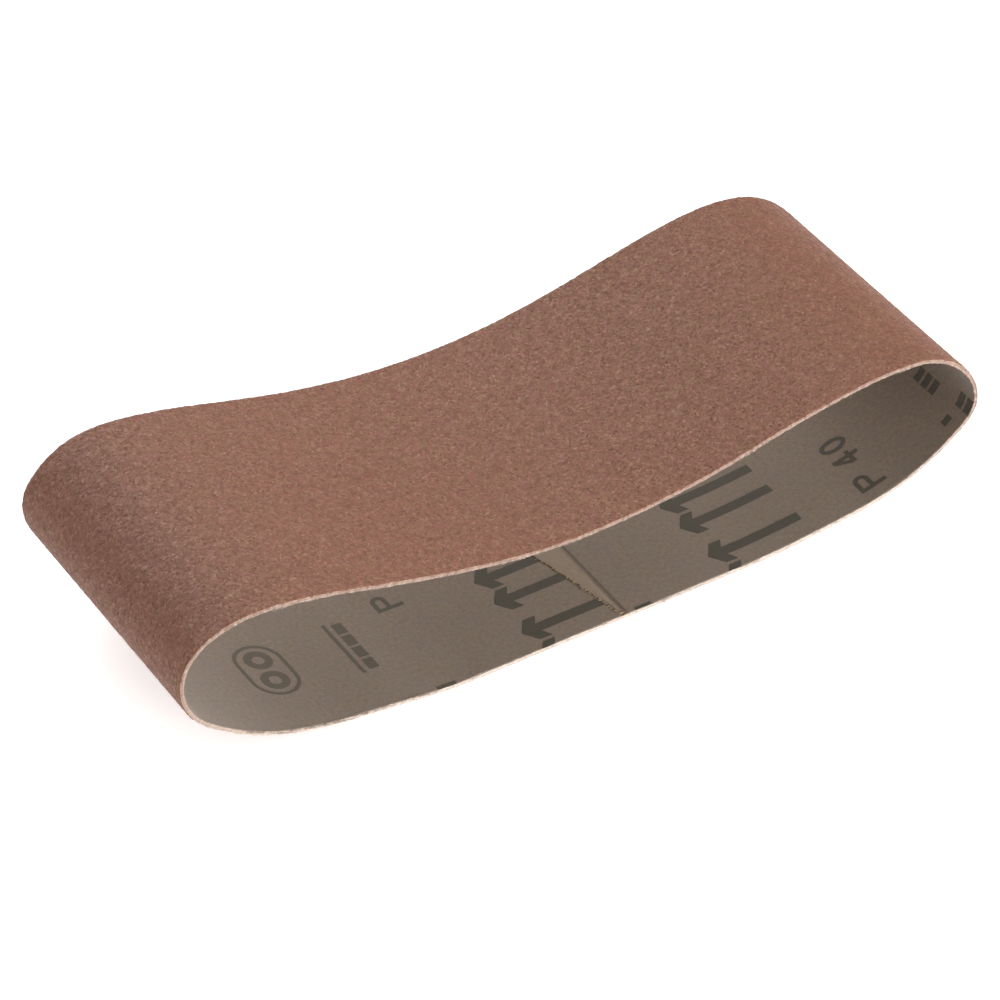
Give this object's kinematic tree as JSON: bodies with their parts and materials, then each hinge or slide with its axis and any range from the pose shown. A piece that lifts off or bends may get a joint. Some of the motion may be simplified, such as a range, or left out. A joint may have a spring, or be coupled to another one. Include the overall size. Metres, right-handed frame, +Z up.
{
  "type": "sanding belt",
  "caption": "Cloth-backed coarse abrasive belt, a strip lapped and glued into a loop that lies relaxed, grit outside and printed cloth inside.",
  "frame": {"origin": "middle of the footprint, on the surface that the belt rests on", "axes": "+X along the loop towards the end whose crest is lower, +Y across the belt away from the near edge, +Z up"},
  "size_m": [0.212, 0.075, 0.0457],
  "materials": {
    "cloth": "matt grey-brown twill, filled",
    "resin": "dull brown resin",
    "grain": "coarse brown aluminium oxide grit",
    "size_resin": "thin red-brown resin over the grit",
    "glue": "amber glue line",
    "ink": "flat dark ink"
  },
  "bodies": {
    "root": {"backing_cloth": "cloth", "make_coat": "resin", "abrasive_grain": "grain", "size_coat": "size_resin", "splice_glue": "glue", "direction_arrows": "ink", "grade_marks": "ink", "belt_symbol": "ink"}
  },
  "joints": []
}
